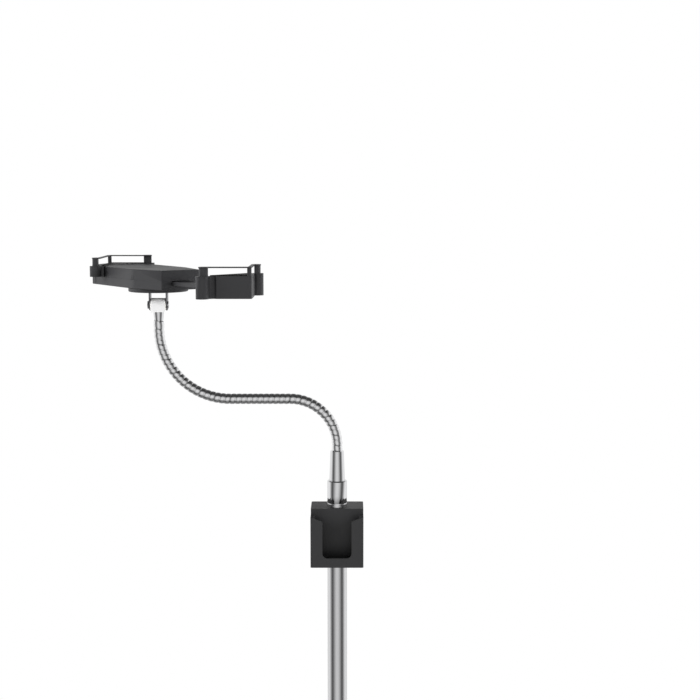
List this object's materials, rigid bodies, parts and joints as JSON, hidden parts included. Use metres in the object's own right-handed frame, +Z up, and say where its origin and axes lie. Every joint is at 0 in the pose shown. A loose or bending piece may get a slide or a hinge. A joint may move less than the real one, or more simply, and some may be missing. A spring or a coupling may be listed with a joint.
{
  "type": "adjustable floor stand",
  "caption": "Telescopic floor stand on a weighted round base, with a bendable gooseneck and a swivelling corner clamp that holds a flat device.",
  "frame": {"origin": "centre of the base pad's underside, on the axis of the pole", "axes": "+Z up along the pole; the gooseneck lies in the XZ plane and leans to -X; the front faces -Y"},
  "size_m": [0.4206, 0.3109, 1.2703],
  "materials": {
    "rubber": "matt, moulded",
    "base_iron": "rough casting",
    "base_paint": "satin powder coat",
    "chrome": "polished",
    "block_nickel": "blasted nickel",
    "clevis_steel": "blackened",
    "neck_chrome": "polished, wound",
    "tube_steel": "satin chrome plate",
    "screw_steel": "zinc plate",
    "spring_steel": "blued",
    "shoe_brass": "turned",
    "holder_plastic": "fine grain",
    "pocket_plastic": "fine grain",
    "clamp_plastic": "smooth",
    "slide_plastic": "smooth, self-coloured"
  },
  "bodies": {
    "stand": {"base_pad": "rubber", "base_weight": "base_iron", "base_cover": "base_paint", "base_flange": "chrome", "base_washer": "screw_steel", "base_bolt": "screw_steel", "lower_tube": "tube_steel", "tube_plug": "slide_plastic", "guide_bush": "slide_plastic", "height_clamp": "clamp_plastic", "clamp_shoe": "shoe_brass"},
    "knob": {"height_knob": "clamp_plastic", "knob_stud": "screw_steel"},
    "mast": {"upper_tube": "tube_steel", "glide_plug": "slide_plastic", "accessory_pocket": "pocket_plastic", "pocket_screws": "screw_steel", "neck_collar": "chrome", "collar_screw": "screw_steel"},
    "neck_foot": {"lower_ferrule": "chrome", "neck_root": "neck_chrome"},
    "neck_lower_1": {"neck_lower_1": "neck_chrome"},
    "neck_lower_2": {"neck_lower_2": "neck_chrome"},
    "neck_lower_3": {"neck_lower_3": "neck_chrome"},
    "neck_lower_4": {"neck_lower_4": "neck_chrome"},
    "neck_lower_5": {"neck_lower_5": "neck_chrome"},
    "neck_lower_6": {"neck_lower_6": "neck_chrome"},
    "neck_middle": {"neck_middle": "neck_chrome"},
    "neck_upper_1": {"neck_upper_1": "neck_chrome"},
    "neck_upper_2": {"neck_upper_2": "neck_chrome"},
    "neck_upper_3": {"neck_upper_3": "neck_chrome"},
    "neck_upper_4": {"neck_upper_4": "neck_chrome"},
    "neck_upper_5": {"neck_upper_5": "neck_chrome"},
    "neck_upper_6": {"neck_upper_6": "neck_chrome"},
    "neck_end": {"neck_tip": "neck_chrome", "upper_ferrule": "chrome", "pivot_block": "block_nickel"},
    "head": {"clevis": "clevis_steel", "pivot_screw": "screw_steel", "pivot_nut": "screw_steel", "pivot_washers": "slide_plastic", "swivel_disc": "holder_plastic", "swivel_retainer": "screw_steel", "swivel_screw": "screw_steel"},
    "holder": {"rear_shell": "holder_plastic", "front_cover": "holder_plastic", "shell_screws": "screw_steel", "fixed_jaw": "holder_plastic", "fixed_jaw_pad": "rubber", "pawl_spring": "spring_steel"},
    "jaw": {"rack_arm": "holder_plastic", "rack_screws": "screw_steel", "moving_jaw": "holder_plastic", "moving_jaw_pad": "rubber", "jaw_cover": "holder_plastic", "jaw_cover_screws": "screw_steel"},
    "button": {"release_button": "holder_plastic"},
    "pawl": {"rack_pawl": "slide_plastic"}
  },
  "joints": [
    {"name": "knob_turn", "type": "hinge", "parent": "stand", "child": "knob", "pos_m": [0, 0, 0.652], "axis": [1, 0, 0], "range_deg": [0, 360]},
    {"name": "height_slide", "type": "slide", "parent": "stand", "child": "mast", "axis": [0, 0, 1], "range_m": [-0.26, 0.15]},
    {"name": "neck_turn", "type": "hinge", "parent": "mast", "child": "neck_foot", "pos_m": [0, 0, 1.0317], "axis": [0, 0, 1], "range_deg": [-90, 90]},
    {"name": "lower_bend_1", "type": "hinge", "parent": "neck_foot", "child": "neck_lower_1", "pos_m": [0, 0, 1.07569], "axis": [0, 1, 0], "range_deg": [-1.43, 21.43]},
    {"name": "lower_bend_2", "type": "hinge", "parent": "neck_lower_1", "child": "neck_lower_2", "pos_m": [-0.00253, 0, 1.08678], "axis": [0, 1, 0], "range_deg": [-1.43, 21.43]},
    {"name": "lower_bend_3", "type": "hinge", "parent": "neck_lower_2", "child": "neck_lower_3", "pos_m": [-0.00747, 0, 1.09704], "axis": [0, 1, 0], "range_deg": [-1.43, 21.43]},
    {"name": "lower_bend_4", "type": "hinge", "parent": "neck_lower_3", "child": "neck_lower_4", "pos_m": [-0.01456, 0, 1.10593], "axis": [0, 1, 0], "range_deg": [-1.43, 21.43]},
    {"name": "lower_bend_5", "type": "hinge", "parent": "neck_lower_4", "child": "neck_lower_5", "pos_m": [-0.02346, 0, 1.11303], "axis": [0, 1, 0], "range_deg": [-1.43, 21.43]},
    {"name": "lower_bend_6", "type": "hinge", "parent": "neck_lower_5", "child": "neck_lower_6", "pos_m": [-0.03372, 0, 1.11797], "axis": [0, 1, 0], "range_deg": [-1.43, 21.43]},
    {"name": "lower_bend_7", "type": "hinge", "parent": "neck_lower_6", "child": "neck_middle", "pos_m": [-0.04481, 0, 1.1205], "axis": [0, 1, 0], "range_deg": [-1.43, 21.43]},
    {"name": "upper_bend_1", "type": "hinge", "parent": "neck_middle", "child": "neck_upper_1", "pos_m": [-0.12301, 0, 1.1205], "axis": [0, 1, 0], "range_deg": [-17.14, 4.29]},
    {"name": "upper_bend_2", "type": "hinge", "parent": "neck_upper_1", "child": "neck_upper_2", "pos_m": [-0.13959, 0, 1.12429], "axis": [0, 1, 0], "range_deg": [-17.14, 4.29]},
    {"name": "upper_bend_3", "type": "hinge", "parent": "neck_upper_2", "child": "neck_upper_3", "pos_m": [-0.15492, 0, 1.13167], "axis": [0, 1, 0], "range_deg": [-17.14, 4.29]},
    {"name": "upper_bend_4", "type": "hinge", "parent": "neck_upper_3", "child": "neck_upper_4", "pos_m": [-0.16822, 0, 1.14228], "axis": [0, 1, 0], "range_deg": [-17.14, 4.29]},
    {"name": "upper_bend_5", "type": "hinge", "parent": "neck_upper_4", "child": "neck_upper_5", "pos_m": [-0.17883, 0, 1.15558], "axis": [0, 1, 0], "range_deg": [-17.14, 4.29]},
    {"name": "upper_bend_6", "type": "hinge", "parent": "neck_upper_5", "child": "neck_upper_6", "pos_m": [-0.18621, 0, 1.17091], "axis": [0, 1, 0], "range_deg": [-17.14, 4.29]},
    {"name": "upper_bend_7", "type": "hinge", "parent": "neck_upper_6", "child": "neck_end", "pos_m": [-0.19, 0, 1.18749], "axis": [0, 1, 0], "range_deg": [-17.14, 4.29]},
    {"name": "holder_tilt", "type": "hinge", "parent": "neck_end", "child": "head", "pos_m": [-0.19, 0, 1.2217], "axis": [1, 0, 0], "range_deg": [-80, 80]},
    {"name": "holder_swivel", "type": "hinge", "parent": "head", "child": "holder", "pos_m": [-0.19, 0, 1.2403], "axis": [0, 0, 1], "continuous": true},
    {"name": "jaw_slide", "type": "slide", "parent": "holder", "child": "jaw", "axis": [0.5848, -0.8112, 0], "range_m": [-0.05, 0.045]},
    {"name": "button_press", "type": "slide", "parent": "holder", "child": "button", "axis": [-0.8112, -0.5848, 0], "range_m": [0, 0.0025], "stiffness_N_per_m": 500, "springref_m": -0.0005},
    {"name": "pawl_drop", "type": "slide", "parent": "holder", "child": "pawl", "axis": [0, 0, -1], "range_m": [0, 0.0007]}
  ],
  "couplings": [
    {"joint": "pawl_drop", "follows": "button_press", "ratio": 0.28}
  ]
}
